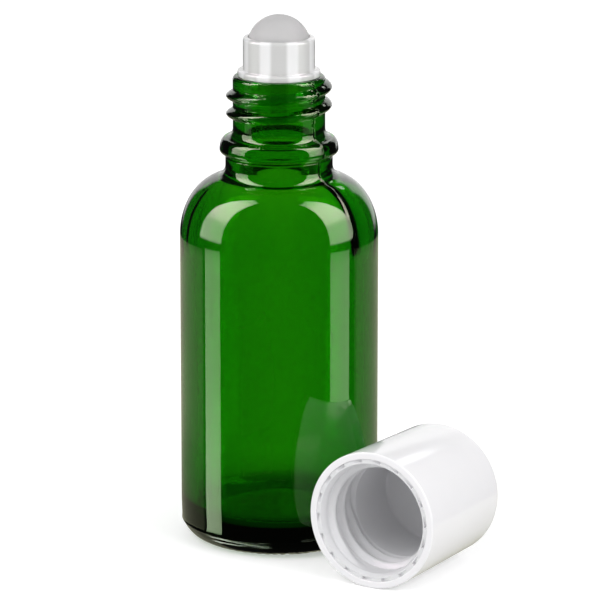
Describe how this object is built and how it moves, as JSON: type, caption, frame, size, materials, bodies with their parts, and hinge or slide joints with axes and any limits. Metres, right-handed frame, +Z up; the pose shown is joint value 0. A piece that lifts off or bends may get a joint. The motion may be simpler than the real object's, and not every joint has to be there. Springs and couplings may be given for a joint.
{
  "type": "roll-on bottle",
  "caption": "Round green glass roll-on bottle with a screw neck, a pressed-in roller housing, a free roller ball and a white two-part screw cap lying beside it.",
  "frame": {"origin": "centre of the bottle's foot ring, on the surface it stands on", "axes": "+Z up along the bottle's axis, -Y towards the viewer of the picture, +X to the viewer's right, where the cap lies"},
  "size_m": [0.0526, 0.0529, 0.089],
  "materials": {
    "green_glass": "clear green glass, fire-polished",
    "housing_plastic": "white moulded polyethylene, semi-gloss",
    "ball_plastic": "frosted natural polypropylene",
    "cap_plastic": "white moulded polypropylene, glossy",
    "liner_plastic": "white moulded polypropylene, satin"
  },
  "bodies": {
    "bottle": {"bottle": "green_glass", "roller_housing": "housing_plastic"},
    "roller_ball": {"roller_ball": "ball_plastic"},
    "cap": {"cap_shell": "cap_plastic", "cap_liner": "liner_plastic"}
  },
  "joints": [
    {"name": "ball_roll", "type": "hinge", "parent": "bottle", "child": "roller_ball", "pos_m": [0, 0, 0.0837], "axis": [1, 0, 0], "continuous": true},
    {"name": "cap_lift", "type": "slide", "parent": "bottle", "child": "cap", "axis": [0, 0, 1], "range_m": [0, 0.1]}
  ]
}
